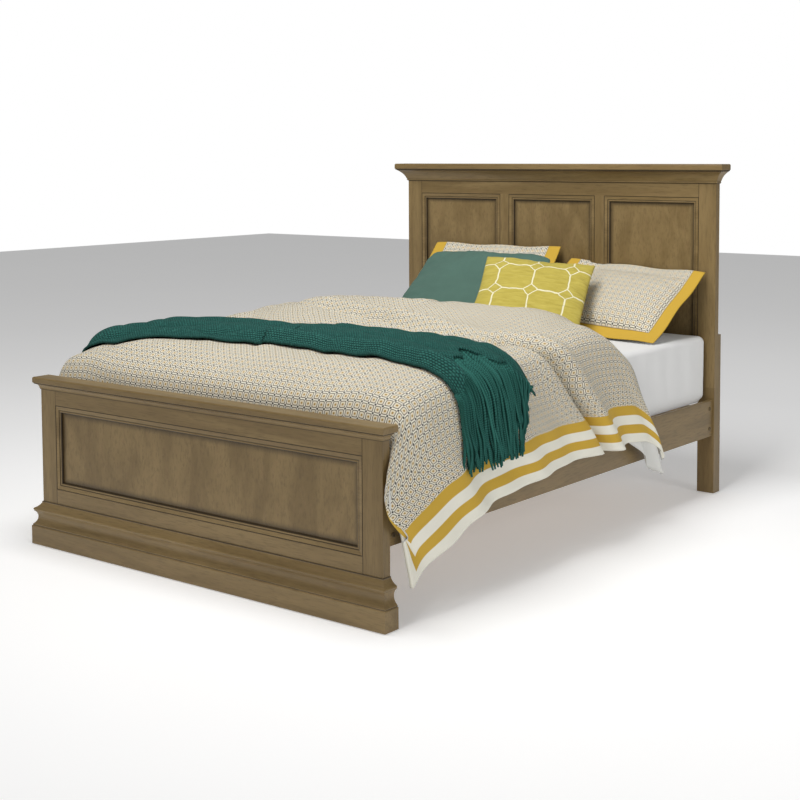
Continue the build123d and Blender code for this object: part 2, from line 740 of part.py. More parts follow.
def hem_cutters():
    """What is left open below the hems and beyond the head edge, which turns down across both sides."""
    wide = rail_outer + 300
    low, high = 40, headboard_height
    foot = foot_back + cap_back_overhang
    tail = mattress_head - comforter_head_inset
    side_hem = [(foot - 5, comforter_corner_height), (foot + 70, comforter_corner_height + 38),
                (foot + 350, comforter_hem_height - 72), (foot + 900, comforter_hem_height),
                (tail + 67, comforter_hem_height - 10), (tail + 77, comforter_flap_height + 11),
                (mattress_head, comforter_flap_height)]
    below = [(foot - 5, low)] + side_hem + [(mattress_head, low)]
    corner, past_rail = rail_outer + comforter_side_flare, rail_outer + 6
    foot_hem = [(corner + 60, low), (corner + 60, comforter_corner_height), (corner, comforter_corner_height),
                (past_rail, 250), (past_rail, rail_top + 10)]
    foot_hem += [(-x, z) for x, z in reversed(foot_hem)]
    turned = [(tail + 257, comforter_flap_height - 25), (tail + 97, rail_top + 16),
              (tail - 73, sheet_top - 55), (tail - 73, sheet_top + 30), (tail, high),
              (mattress_head, high), (mattress_head, comforter_flap_height - 25)]
    cutters = [seen_from_side(make_face(Polyline(*below, close=True)), -wide, wide),
               seen_from_front(make_face(Polyline(*foot_hem, close=True)), foot - 10, foot + 60)]
    inner = mattress_width / 2 - 10
    for side in (-1, 1):
        cutters.append(seen_from_side(make_face(Polyline(*turned, close=True)), *mirrored(inner, wide, side)))
        off_top = [(inner, tail - 63), (inner / 2, tail + 390), (inner / 2, mattress_head),
                   (wide, mattress_head), (wide, tail - 63)]
        cutters.append(plan([(side * x, y) for x, y in off_top], sheet_top - 20, high))
    return cutters


def make_comforter():
    comforter = comforter_envelope(0) - under_comforter()
    for cutter in hem_cutters():
        comforter -= cutter
    save("comforter", comforter)


def make_throw():
    """A thick layer over the comforter, from side to side, with a hanging fringe at both ends."""
    start = foot_back + throw_start
    wide = rail_outer + 300
    layer = comforter_envelope(cloth_gap + throw_thickness) - comforter_envelope(cloth_gap)
    low = sheet_top - throw_drop
    body = layer & block(-wide, wide, start, start + throw_width, low, 1000)
    fringe = layer & block(-wide, wide, start + 60, start + throw_width - 120,
                           low - fringe_length, low - cloth_gap)
    save("throw", body, fringe)


def pillow(width, height, thickness):
    """A filled pillow, lying flat: full in the middle, with thin edges and slightly drawn-in sides."""
    sections = []
    for level, share in ((-0.5, 0.5), (-0.38, 0.78), (0, 1.0), (0.38, 0.78), (0.5, 0.5)):
        w, h = width * share, height * share
        outline = RectangleRounded(w, h, 0.16 * h)
        sections.append(Pos(0, 0, level * thickness) * outline)
    return loft(sections)


def resting(solid, x, y, tilt, turn=0.0, roll=0.0):
    """Leans a flat pillow back by tilt, turns it about the vertical, and rests it on the sheet.

    The middle comes to y, or, where y is None, the pillow's back leans on the headboard."""
    leaning = Rot(0, 0, turn) * Rot(tilt, 0, 0) * Rot(0, 0, roll) * solid
    size = leaning.bounding_box()
    if y is None:
        y = head_front - cloth_gap - size.max.Y
    return Pos(x, y, sheet_top + cloth_gap - size.min.Z) * leaning


def make_pillows():
    sham = pillow(sham_width, sham_height, sham_thickness)
    aside = (sham_gap + sham_width) / 2
    save("left_sham", resting(sham, pillow_row_middle - aside, None, 45))
    save("right_sham", resting(sham, pillow_row_middle + aside, None, 38))
    teal = pillow(teal_pillow_width, teal_pillow_height, teal_pillow_thickness)
    save("teal_pillow", resting(teal, -140, head_front - 365.5, 41))
    cushion = pillow(cushion_side, cushion_side, cushion_thickness)
    save("yellow_cushion", resting(cushion, 245, head_front - 470.5, 40, 28, -7))


os.makedirs("parts", exist_ok=True)
make_headboard()
make_legs()
make_footboard()
make_brackets()
make_rails_and_slats()
make_mattress()
make_comforter()
make_throw()
make_pillows()
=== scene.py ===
import bisect
import functools
import math
import bmesh
import bpy
import numpy as np
from mathutils import Matrix, Vector, noise


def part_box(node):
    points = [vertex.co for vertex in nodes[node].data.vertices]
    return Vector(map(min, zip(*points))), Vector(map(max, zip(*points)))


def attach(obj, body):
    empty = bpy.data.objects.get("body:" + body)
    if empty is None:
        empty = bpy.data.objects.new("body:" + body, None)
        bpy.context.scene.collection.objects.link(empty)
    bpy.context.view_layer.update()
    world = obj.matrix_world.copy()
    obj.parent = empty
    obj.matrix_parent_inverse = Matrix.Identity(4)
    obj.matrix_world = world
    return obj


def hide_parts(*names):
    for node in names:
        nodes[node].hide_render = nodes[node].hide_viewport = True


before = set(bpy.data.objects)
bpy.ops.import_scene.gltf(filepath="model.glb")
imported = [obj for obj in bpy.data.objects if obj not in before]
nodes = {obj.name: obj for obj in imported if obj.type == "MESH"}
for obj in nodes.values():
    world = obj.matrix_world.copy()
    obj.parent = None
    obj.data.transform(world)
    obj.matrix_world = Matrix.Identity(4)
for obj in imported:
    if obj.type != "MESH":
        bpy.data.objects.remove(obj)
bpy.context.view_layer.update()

# Sizes of the soft pieces, in metres
FOOT = -1.117
CLOTH_HALF = 1.18
BAND = 0.037
PITCH = 0.027
HEM = 0.012


# Node helpers
def put(tree, kind, inputs=None, **props):
    made = tree.nodes.new(kind)
    for name, value in props.items():
        setattr(made, name, value)
    for key, value in (inputs or {}).items():
        if isinstance(value, bpy.types.NodeSocket):
            tree.links.new(value, made.inputs[key])
        else:
            made.inputs[key].default_value = value
    return made


def calc(tree, operation, a, b=0.0, c=0.0, clamp=False):
    return put(tree, "ShaderNodeMath", {0: a, 1: b, 2: c}, operation=operation, use_clamp=clamp).outputs[0]


def mix(tree, factor, a, b):
    made = put(tree, "ShaderNodeMix", {0: factor, 6: a, 7: b}, data_type="RGBA")
    return made.outputs[2]


def rgb(r, g, b):
    return (r, g, b, 1.0)


def ramp_mask(tree, value, low, high):
    made = put(tree, "ShaderNodeMapRange", {0: value, 1: low, 2: high, 3: 0.0, 4: 1.0}, clamp=True)
    made.interpolation_type = "SMOOTHSTEP"
    return made.outputs[0]


def new_group(name, ins, outs):
    tree = bpy.data.node_groups.new(name, "ShaderNodeTree")
    for label, kind in ins:
        tree.interface.new_socket(name=label, in_out="INPUT", socket_type=kind)
    for label, kind in outs:
        tree.interface.new_socket(name=label, in_out="OUTPUT", socket_type=kind)
    return tree, tree.nodes.new("NodeGroupInput"), tree.nodes.new("NodeGroupOutput")


def use_group(tree, group, inputs):
    made = tree.nodes.new("ShaderNodeGroup")
    made.node_tree = group
    for key, value in inputs.items():
        if isinstance(value, bpy.types.NodeSocket):
            tree.links.new(value, made.inputs[key])
        else:
            made.inputs[key].default_value = value
    return made


def start_material(name):
    made = bpy.data.materials.new(name)
    made.use_nodes = True
    tree = made.node_tree
    return made, tree, tree.nodes["Principled BSDF"]


# Wood: figure along the grain, and dark lines in joints and mouldings: real glaze in part, painted shade in the grooves
# and recesses in part
def wood_group():
    tree, given, out = new_group(
        "maple figure",
        [("Place", "NodeSocketVector")],
        [("Color", "NodeSocketColor"), ("Height", "NodeSocketFloat"), ("Gloss", "NodeSocketFloat")])
    place = given.outputs["Place"]
    cloud = put(tree, "ShaderNodeTexNoise", {"Vector": place, "Scale": 1.6, "Detail": 4.0, "Roughness": 0.55,
                                             "Distortion": 0.6}).outputs[0]
    fibre = put(tree, "ShaderNodeTexNoise",
                {"Vector": place, "Scale": 22.0, "Detail": 5.0, "Roughness": 0.6}).outputs[0]
    curl = put(tree, "ShaderNodeTexNoise",
               {"Vector": place, "Scale": 6.0, "Detail": 3.0, "Distortion": 1.6}).outputs[0]
    base = mix(tree, ramp_mask(tree, cloud, 0.32, 0.7), rgb(0.165, 0.110, 0.042), rgb(0.236, 0.163, 0.068))
    base = mix(tree, calc(tree, "MULTIPLY", ramp_mask(tree, curl, 0.52, 0.74), 0.30), base,
               rgb(0.232, 0.142, 0.066))
    base = mix(tree, calc(tree, "MULTIPLY", ramp_mask(tree, fibre, 0.45, 0.75), 0.50), base,
               rgb(0.095, 0.062, 0.025))
    tree.links.new(base, out.inputs["Color"])
    tree.links.new(fibre, out.inputs["Height"])
    tree.links.new(calc(tree, "MULTIPLY_ADD", cloud, 0.12, 0.33), out.inputs["Gloss"])
    return tree


def outline_group():
    """Signed distance, in the X Z plane, from a rectangle's outline; negative inside."""
    tree, given, out = new_group(
        "rectangle distance",
        [(n, "NodeSocketFloat") for n in ("X", "Z", "Middle X", "Middle Z", "Half X", "Half Z")],
        [("Distance", "NodeSocketFloat")])
    g = given.outputs
    across = calc(tree, "SUBTRACT",
                  calc(tree, "ABSOLUTE", calc(tree, "SUBTRACT", g["X"], g["Middle X"])), g["Half X"])
    up = calc(tree, "SUBTRACT",
              calc(tree, "ABSOLUTE", calc(tree, "SUBTRACT", g["Z"], g["Middle Z"])), g["Half Z"])
    tree.links.new(calc(tree, "MAXIMUM", across, up), out.inputs["Distance"])
    return tree


FIGURE = wood_group()
RECTANGLE = outline_group()


def box_rect(node):
    low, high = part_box(node)
    return ((low.x + high.x) / 2, (low.z + high.z) / 2, (high.x - low.x) / 2, (high.z - low.z) / 2)


def nearest_rect(tree, x, z, rects):
    found = None
    for cx, cz, hx, hz in rects:
        d = use_group(tree, RECTANGLE,
                      {"X": x, "Z": z, "Middle X": cx, "Middle Z": cz, "Half X": hx, "Half Z": hz})
        d = d.outputs[0]
        found = d if found is None else calc(tree, "MINIMUM", found, d)
    return found


def line_at(tree, distance, place, width):
    off = calc(tree, "ABSOLUTE", calc(tree, "SUBTRACT", distance, place))
    return calc(tree, "SUBTRACT", 1.0, ramp_mask(tree, off, width * 0.35, width))


GRAIN = {"x": (0.9, 9.0, 9.0), "y": (9.0, 0.9, 9.0), "z": (9.0, 9.0, 0.9)}


def make_wood(name, grain, rects=(), lines=(), rim=None, bars=(), shift=0.0, stretch=None, front=None):
    """lines are (place, width, strength) from the rectangles' outline; bars are (axis, place, width, strength).

    front is a node: the rim shows only on the side of its middle that faces the foot of the bed."""
    made, tree, shader = start_material(name)
    coords = put(tree, "ShaderNodeTexCoord").outputs["Object"]
    moved = put(tree, "ShaderNodeMapping", {"Vector": coords, "Location": (shift, shift * 0.7, shift * 1.3),
                                            "Scale": stretch or GRAIN[grain]}).outputs[0]
    figure = use_group(tree, FIGURE, {"Place": moved})
    colour = figure.outputs["Color"]
    parts = put(tree, "ShaderNodeSeparateXYZ", {0: coords}).outputs
    dark = None
    masks = []
    # dark lines along the moulding outlines: painted shade in the quirks and steps, with some real glaze
    if rects:
        d = nearest_rect(tree, parts["X"], parts["Z"], rects)
        for place, width, strength in lines:
            masks.append(calc(tree, "MULTIPLY", line_at(tree, d, place, width), strength))
        if rim:
            # the rim: painted shade on the recessed panel beside the moulding's step, on the front face only
            start, reach, strength = rim
            near = ramp_mask(tree, d, start - reach, start)
            low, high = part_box(front)
            facing = calc(tree, "LESS_THAN", parts["Y"], (low.y + high.y) / 2)
            masks.append(calc(tree, "MULTIPLY", calc(tree, "MULTIPLY", near, strength), facing))
    # dark bars at joints and moulding edges: painted shade where parts meet, with some real glaze
    for axis, place, width, strength in bars:
        value = parts[axis.upper()]
        if axis == "x":
            value = calc(tree, "ABSOLUTE", value)
        masks.append(calc(tree, "MULTIPLY", line_at(tree, value, place, width), strength))
    for mask in masks:
        dark = mask if dark is None else calc(tree, "MAXIMUM", dark, mask)
    # the painted shade and glaze lines are mixed in as a near-black brown
    if dark is not None:
        colour = mix(tree, dark, colour, rgb(0.022, 0.014, 0.007))
    bump = put(tree, "ShaderNodeBump",
               {"Strength": 0.06, "Distance": 0.001, "Height": figure.outputs["Height"]})
    tree.links.new(colour, shader.inputs["Base Color"])
    tree.links.new(figure.outputs["Gloss"], shader.inputs["Roughness"])
    tree.links.new(bump.outputs[0], shader.inputs["Normal"])
    shader.inputs["Specular IOR Level"].default_value = 0.35
    shader.inputs["Coat Weight"].default_value = 0.06
    shader.inputs["Coat Roughness"].default_value = 0.3
    return made


def paint(material, *names):
    for name in names:
        mesh = nodes[name].data
        mesh.materials.clear()
        mesh.materials.append(material)


def make_metal(name, colour, rough, metallic=1.0):
    made, tree, shader = start_material(name)
    coords = put(tree, "ShaderNodeTexCoord").outputs["Object"]
    cloud = put(tree, "ShaderNodeTexNoise", {"Vector": coords, "Scale": 90.0, "Detail": 3.0}).outputs[0]
    darker = tuple(c * 0.7 for c in colour) + (1.0,)
    tree.links.new(mix(tree, cloud, darker, colour + (1.0,)), shader.inputs["Base Color"])
    tree.links.new(calc(tree, "MULTIPLY_ADD", cloud, 0.2, rough - 0.1), shader.inputs["Roughness"])
    shader.inputs["Metallic"].default_value = metallic
    return made


head_rects = [box_rect(f"headboard_{side}_panel_moulding") for side in ("left", "centre", "right")]
foot_rect = [box_rect("footboard_panel_moulding")]
stile_edge = foot_rect[0][0] + foot_rect[0][2]
strip = 0.025
# dark lines at the moulding's quirk, step and inner edge, at the frame's edge and at the stile joint: painted shade in
# part, real glaze and joints in part
moulding_lines = [(-0.0008, 0.0022, 0.85), (-0.64 * strip, 0.0022, 0.75), (-strip, 0.004, 0.9)]
joint = [("x", stile_edge, 0.0016, 0.85)]
edge = [(0.0, 0.0016, 0.5)]

paint(make_wood("maple headboard rails", "x", head_rects, edge, bars=joint),
      "headboard_top_rail", "headboard_bottom_rail")
paint(make_wood("maple footboard rails", "x", foot_rect, edge, bars=joint, shift=3.1),
      "footboard_top_rail", "footboard_bottom_rail")
paint(make_wood("maple stiles and mullions", "z", head_rects + foot_rect, edge, bars=joint, shift=1.7),
      "headboard_left_stile", "headboard_right_stile", "headboard_left_mullion", "headboard_right_mullion",
      "footboard_left_stile", "footboard_right_stile")
# panels darkened inside the moulding: painted shade in the recess below the step
paint(make_wood("maple headboard panels", "z", head_rects, rim=(-strip, 0.022, 0.62), shift=5.3,
                stretch=(7.0, 4.0, 2.4), front="headboard_centre_panel"),
      "headboard_left_panel", "headboard_centre_panel", "headboard_right_panel")
paint(make_wood("maple footboard panel", "z", foot_rect, rim=(-strip, 0.024, 0.62), shift=8.9,
                stretch=(6.5, 4.0, 2.4), front="footboard_panel"),
      "footboard_panel")
paint(make_wood("maple headboard mouldings", "x", head_rects, moulding_lines, shift=2.2),
      "headboard_left_panel_moulding", "headboard_centre_panel_moulding", "headboard_right_panel_moulding")
paint(make_wood("maple footboard moulding", "x", foot_rect, moulding_lines, shift=2.9),
      "footboard_panel_moulding")
crown_low, crown_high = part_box("headboard_crown_moulding")
cap_low, cap_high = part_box("footboard_cap_moulding")
base_low, base_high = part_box("footboard_base_moulding")
# dark bands at the top and bottom edges of the crown, cap and base mouldings: painted shade where the parts meet,
# partly real glaze
paint(make_wood("maple crown moulding", "x",
                bars=[("z", crown_high.z, 0.010, 0.8), ("z", crown_low.z, 0.004, 0.8)], shift=4.4),
      "headboard_crown_moulding")
paint(make_wood("maple cap moulding", "x",
                bars=[("z", cap_high.z, 0.006, 0.8), ("z", cap_low.z, 0.003, 0.8)], shift=6.4),
      "footboard_cap_moulding")
paint(make_wood("maple base moulding", "x",
                bars=[("z", base_low.z, 0.003, 0.8), ("z", base_high.z, 0.003, 0.8)], shift=7.4),
      "footboard_base_moulding")
paint(make_wood("maple boards", "x", shift=0.6), "headboard_cap_board", "footboard_cap_board",
      "footboard_plinth")
paint(make_wood("maple side rails", "y", shift=9.2), "left_side_rail", "right_side_rail")
paint(make_wood("maple legs", "z", shift=4.9), "headboard_left_leg", "headboard_right_leg")


def plain_wood(name, grain):
    made, tree, shader = start_material(name)
    coords = put(tree, "ShaderNodeTexCoord").outputs["Object"]
    moved = put(tree, "ShaderNodeMapping", {"Vector": coords, "Scale": GRAIN[grain]}).outputs[0]
    rings = put(tree, "ShaderNodeTexNoise",
                {"Vector": moved, "Scale": 5.0, "Detail": 5.0, "Distortion": 0.8}).outputs[0]
    colour = mix(tree, ramp_mask(tree, rings, 0.35, 0.7), rgb(0.62, 0.42, 0.22), rgb(0.47, 0.28, 0.12))
    tree.links.new(colour, shader.inputs["Base Color"])
    shader.inputs["Roughness"].default_value = 0.6
    return made


paint(plain_wood("plain pine slats", "x"), *[f"slat_{i:02d}" for i in range(1, 12)])
paint(plain_wood("plain pine rails", "y"), "left_slat_ledger", "right_slat_ledger", "centre_beam")
paint(plain_wood("plain pine legs", "z"), "centre_leg_foot_end", "centre_leg_head_end")
paint(make_metal("zinc screws", (0.55, 0.55, 0.52), 0.35),
      "ledger_screws", "slat_screws", "bracket_screws", "headboard_leg_screws")
paint(make_metal("black steel", (0.05, 0.05, 0.055), 0.5, 0.6), "rail_brackets")
paint(make_metal("aged bronze", (0.20, 0.15, 0.09), 0.45), "rail_bolts", "rail_bolt_nuts")
paint(make_metal("glide plastic", (0.06, 0.05, 0.045), 0.55, 0.0), "floor_glides")


# Cloth materials
def weave_group():
    """Crossed waves of a plain weave, and the slub of its yarn."""
    tree, given, out = new_group(
        "plain weave",
        [("Place", "NodeSocketVector"), ("Turn", "NodeSocketFloat")],
        [("Weave", "NodeSocketFloat"), ("Slub", "NodeSocketFloat")])
    place, turn = given.outputs["Place"], given.outputs["Turn"]
    parts = put(tree, "ShaderNodeSeparateXYZ", {0: place}).outputs
    a = calc(tree, "SINE", calc(tree, "MULTIPLY", parts["X"], turn))
    b = calc(tree, "SINE", calc(tree, "MULTIPLY", parts["Y"], turn))
    slub = put(tree, "ShaderNodeTexNoise", {"Vector": place, "Scale": 260.0, "Detail": 2.0})
    tree.links.new(calc(tree, "MULTIPLY", a, b), out.inputs["Weave"])
    tree.links.new(slub.outputs[0], out.inputs["Slub"])
    return tree


WEAVE = weave_group()


def weave_bump(tree, vector, pitch, strength, distance=0.0006):
    """A fine plain weave with its slubs; the pitch is in metres of cloth."""
    made = use_group(tree, WEAVE, {"Place": vector, "Turn": 2 * math.pi / pitch}).outputs
    height = calc(tree, "ADD", made["Weave"], made["Slub"])
    return put(tree, "ShaderNodeBump", {"Strength": strength, "Distance": distance,
                                        "Height": height}).outputs[0]


def print_group():
    """Rounded squares on a square lattice: U and V in metres of cloth."""
    tree, given, out = new_group(
        "lattice print",
        [("U", "NodeSocketFloat"), ("V", "NodeSocketFloat"), ("Pitch", "NodeSocketFloat")],
        [("Color", "NodeSocketColor")])
    g = given.outputs

    def centred(value):
        cell = calc(tree, "FRACT", calc(tree, "DIVIDE", value, g["Pitch"]))
        return calc(tree, "ABSOLUTE", calc(tree, "SUBTRACT", cell, 0.5))

    x, y = centred(g["U"]), centred(g["V"])

    def power_distance(a, b, p):
        total = calc(tree, "ADD", calc(tree, "POWER", a, p), calc(tree, "POWER", b, p))
        return calc(tree, "POWER", total, 1.0 / p)

    body = power_distance(x, y, 4.5)
    corner = power_distance(calc(tree, "SUBTRACT", 0.5, x), calc(tree, "SUBTRACT", 0.5, y), 2.0)
    inside = calc(tree, "SUBTRACT", 1.0, ramp_mask(tree, body, 0.28, 0.32))
    ring = calc(tree, "SUBTRACT", 1.0,
                ramp_mask(tree, calc(tree, "ABSOLUTE", calc(tree, "SUBTRACT", body, 0.370)), 0.030, 0.060))
    dot = calc(tree, "SUBTRACT", 1.0, ramp_mask(tree, body, 0.10, 0.15))
    dark = calc(tree, "SUBTRACT", 1.0, ramp_mask(tree, corner, 0.11, 0.16))
    colour = mix(tree, inside, rgb(0.78, 0.755, 0.65), rgb(0.72, 0.645, 0.49))
    colour = mix(tree, ring, colour, rgb(0.085, 0.060, 0.040))
    colour = mix(tree, dot, colour, rgb(0.38, 0.24, 0.06))
    colour = mix(tree, dark, colour, rgb(0.022, 0.018, 0.016))
    tree.links.new(colour, out.inputs["Color"])
    return tree


PRINT = print_group()
GOLD = rgb(0.56, 0.355, 0.045)
CREAM = rgb(0.80, 0.78, 0.68)


def cloth_coords(tree, layer="cloth"):
    uv = put(tree, "ShaderNodeUVMap", uv_map=layer).outputs[0]
    parts = put(tree, "ShaderNodeSeparateXYZ", {0: uv}).outputs
    return uv, parts["X"], parts["Y"]


def finish_cloth(tree, shader, colour, normal, rough=0.85, sheen=0.04):
    tree.links.new(colour, shader.inputs["Base Color"])
    tree.links.new(normal, shader.inputs["Normal"])
    shader.inputs["Roughness"].default_value = rough
    shader.inputs["Sheen Weight"].default_value = sheen
    shader.inputs["Specular IOR Level"].default_value = 0.2


def comforter_material(length):
    made, tree, shader = start_material("comforter print")
    uv, u, v = cloth_coords(tree)
    _, across, along = cloth_coords(tree, "print")
    pattern = use_group(tree, PRINT, {"U": across, "V": along, "Pitch": PITCH}).outputs[0]
    side = calc(tree, "SUBTRACT", CLOTH_HALF, calc(tree, "ABSOLUTE", u))
    border = calc(tree, "MINIMUM", side, v)
    colour = mix(tree, ramp_mask(tree, border, 4 * BAND - 0.001, 4 * BAND + 0.001), CREAM, pattern)
    for place in (1.5, 3.5):
        off = calc(tree, "ABSOLUTE", calc(tree, "SUBTRACT", border, place * BAND))
        colour = mix(tree, ramp_mask(tree, off, BAND / 2 - 0.001, BAND / 2 + 0.001), GOLD, colour)
    piping = ramp_mask(tree, v, length - 0.010, length - 0.008)
    colour = mix(tree, piping, colour, rgb(0.03, 0.026, 0.024))
    finish_cloth(tree, shader, colour, weave_bump(tree, uv, 0.0016, 0.25))
    return made


def plain_cloth(name, colour, pitch=0.0014, strength=0.25, mottling=0.06):
    made, tree, shader = start_material(name)
    uv, u, v = cloth_coords(tree)
    cloud = put(tree, "ShaderNodeTexNoise", {"Vector": uv, "Scale": 9.0, "Detail": 3.0}).outputs[0]
    other = tuple(c * (1 - mottling * 2) for c in colour[:3]) + (1.0,)
    finish_cloth(tree, shader, mix(tree, cloud, other, colour),
                 weave_bump(tree, uv, pitch, strength))
    return made


def knit_material(name):
    """Chunky knit: offset rows of stitches, as height and as a darker gap between them."""
    made, tree, shader = start_material(name)
    uv, u, v = cloth_coords(tree)
    row = calc(tree, "DIVIDE", v, 0.0085)
    odd = calc(tree, "MULTIPLY", calc(tree, "FLOORED_MODULO", calc(tree, "FLOOR", row), 2.0), 0.5)
    column = calc(tree, "ADD", calc(tree, "DIVIDE", u, 0.0105), odd)
    a = calc(tree, "SUBTRACT", calc(tree, "FRACT", row), 0.5)
    b = calc(tree, "SUBTRACT", calc(tree, "FRACT", column), 0.5)
    far = calc(tree, "SQRT", calc(tree, "ADD", calc(tree, "MULTIPLY", a, a), calc(tree, "MULTIPLY", b, b)))
    height = calc(tree, "SUBTRACT", 1.0, ramp_mask(tree, far, 0.1, 0.62))
    cloud = put(tree, "ShaderNodeTexNoise", {"Vector": uv, "Scale": 70.0, "Detail": 3.0}).outputs[0]
    # colour follows the stitch height: the gaps between stitches carry painted shade
    colour = mix(tree, height, rgb(0.008, 0.045, 0.040), rgb(0.030, 0.150, 0.125))
    colour = mix(tree, calc(tree, "MULTIPLY", ramp_mask(tree, cloud, 0.5, 0.75), 0.4), colour,
                 rgb(0.05, 0.21, 0.17))
    normal = put(tree, "ShaderNodeBump", {"Strength": 0.9, "Distance": 0.004, "Height": height}).outputs[0]
    finish_cloth(tree, shader, colour, normal, 0.95, 0.0)
    return made


def yarn_material(name):
    made, tree, shader = start_material(name)
    uv, u, v = cloth_coords(tree)
    ply = calc(tree, "SINE",
               calc(tree, "ADD", calc(tree, "MULTIPLY", v, 1300.0), calc(tree, "MULTIPLY", u, 6.283)))
    high = ramp_mask(tree, ply, -0.9, 0.6)
    cloud = put(tree, "ShaderNodeTexNoise", {"Vector": uv, "Scale": 3.7, "Detail": 3.0}).outputs[0]
    # colour follows the ply twist: painted shade in the grooves between the plies
    colour = mix(tree, high, rgb(0.008, 0.050, 0.043), rgb(0.024, 0.120, 0.098))
    colour = mix(tree, ramp_mask(tree, cloud, 0.4, 0.75), colour, rgb(0.035, 0.165, 0.135))
    normal = put(tree, "ShaderNodeBump", {"Strength": 0.5, "Distance": 0.0015, "Height": high}).outputs[0]
    finish_cloth(tree, shader, colour, normal, 0.95, 0.0)
    return made


def sham_material(half_x, half_y):
    made, tree, shader = start_material("sham print")
    uv, u, v = cloth_coords(tree)
    pattern = use_group(tree, PRINT, {"U": u, "V": v, "Pitch": PITCH}).outputs[0]
    border = calc(tree, "MINIMUM", calc(tree, "SUBTRACT", half_x, calc(tree, "ABSOLUTE", u)),
                  calc(tree, "ADD", half_y, v))
    colour = mix(tree, ramp_mask(tree, border, 0.059, 0.061), GOLD, pattern)
    seam = calc(tree, "SUBTRACT", 1.0,
                ramp_mask(tree, calc(tree, "ABSOLUTE", calc(tree, "SUBTRACT", border, 0.06)), 0.0008, 0.002))
    colour = mix(tree, calc(tree, "MULTIPLY", seam, 0.5), colour, rgb(0.12, 0.08, 0.03))
    finish_cloth(tree, shader, colour, weave_bump(tree, uv, 0.0014, 0.2))
    return made


def cushion_material():
    """Ruched yellow cotton with white lines: squares on a diagonal lattice joined into long hexagons."""
    made, tree, shader = start_material("yellow ruched cotton")
    uv, u, v = cloth_coords(tree)
    wobble = put(tree, "ShaderNodeTexNoise", {"Vector": uv, "Scale": 14.0, "Detail": 2.0}).outputs[0]
    wob = calc(tree, "MULTIPLY", calc(tree, "SUBTRACT", wobble, 0.5), 0.018)
    cell = 0.148

    def folded(value, offset):
        t = calc(tree, "FRACT",
                 calc(tree, "ADD", calc(tree, "DIVIDE", calc(tree, "ADD", value, wob), cell), offset))
        return calc(tree, "ABSOLUTE", calc(tree, "SUBTRACT", t, 0.5))

    x, y = folded(u, 0.5), folded(v, 0.5)
    both = calc(tree, "ADD", x, y)
    diamond = calc(tree, "ABSOLUTE", calc(tree, "SUBTRACT", both, 0.2))
    cross = calc(tree, "ADD", calc(tree, "MINIMUM", x, y),
                 ramp_mask(tree, calc(tree, "SUBTRACT", 0.2, both), -0.001, 0.001))
    line = calc(tree, "MINIMUM", diamond, cross)
    white = calc(tree, "SUBTRACT", 1.0, ramp_mask(tree, line, 0.016, 0.030))
    stretched = put(tree, "ShaderNodeMapping",
                    {"Vector": uv, "Rotation": (0.0, 0.0, 0.35), "Scale": (16.0, 90.0, 1.0)}).outputs[0]
    ruche = put(tree, "ShaderNodeTexNoise",
                {"Vector": stretched, "Scale": 1.0, "Detail": 3.0, "Distortion": 0.7}).outputs[0]
    # the ruche noise also sets the colour: painted shade in the folds of the ruching, lighter yellow on their crests
    colour = mix(tree, ruche, rgb(0.34, 0.265, 0.034), rgb(0.58, 0.49, 0.115))
    colour = mix(tree, white, colour, rgb(0.78, 0.74, 0.50))
    height = calc(tree, "SUBTRACT", ruche, calc(tree, "MULTIPLY", white, 0.25))
    normal = put(tree, "ShaderNodeBump", {"Strength": 0.9, "Distance": 0.006, "Height": height}).outputs[0]
    finish_cloth(tree, shader, colour, normal)
    return made


# Mesh helpers
def measured_map(points):
    """Flat places for a grid of points, by the lengths between them: across from the middle, along from the first row."""
    nx, ny = points.shape[0] - 1, points.shape[1] - 1
    across = np.zeros(points.shape[:2])
    across[1:] = np.cumsum(np.linalg.norm(np.diff(points, axis=0), axis=2), axis=0)
    across -= across[nx // 2]
    share = np.abs(np.linspace(-1, 1, nx + 1))[:, None]
    for end, sign in ((0, -1.0), (nx, 1.0)):
        total = np.abs(across[end])
        half = slice(0, nx // 2) if sign < 0 else slice(nx // 2, nx + 1)
        across[half] += sign * share[half] ** 2 * (total.mean() - total)[None, :]
    along = np.zeros(points.shape[:2])
    along[:, 1:] = np.cumsum(np.linalg.norm(np.diff(points, axis=1), axis=2), axis=1)
    return across, along


def grid_piece(name, nx, ny, place, cloth, material, thickness=0.0, offset=-1.0, measured=False):
    """A cloth grid. place(s, t) gives the point and cloth(s, t) its flat place, for s and t from 0 to 1."""
    bm = bmesh.new()
    layer = bm.loops.layers.uv.new("cloth")
    bmesh.ops.create_grid(bm, x_segments=nx, y_segments=ny, size=0.5)
    flat, cell = {}, {}
    points = np.zeros((nx + 1, ny + 1, 3))
    for vert in bm.verts:
        s, t = vert.co.x + 0.5, vert.co.y + 0.5
        flat[vert] = cloth(s, t)
        cell[vert] = (round(s * nx), round(t * ny))
        vert.co = Vector(place(s, t))
        points[cell[vert]] = vert.co
    if measured:
        second = bm.loops.layers.uv.new("print")
        across, along = measured_map(points)
    for face in bm.faces:
        face.smooth = True
        for loop in face.loops:
            loop[layer].uv = flat[loop.vert]
            if measured:
                loop[second].uv = (across[cell[loop.vert]], along[cell[loop.vert]])
    return make_object(name, bm, material, thickness, offset)


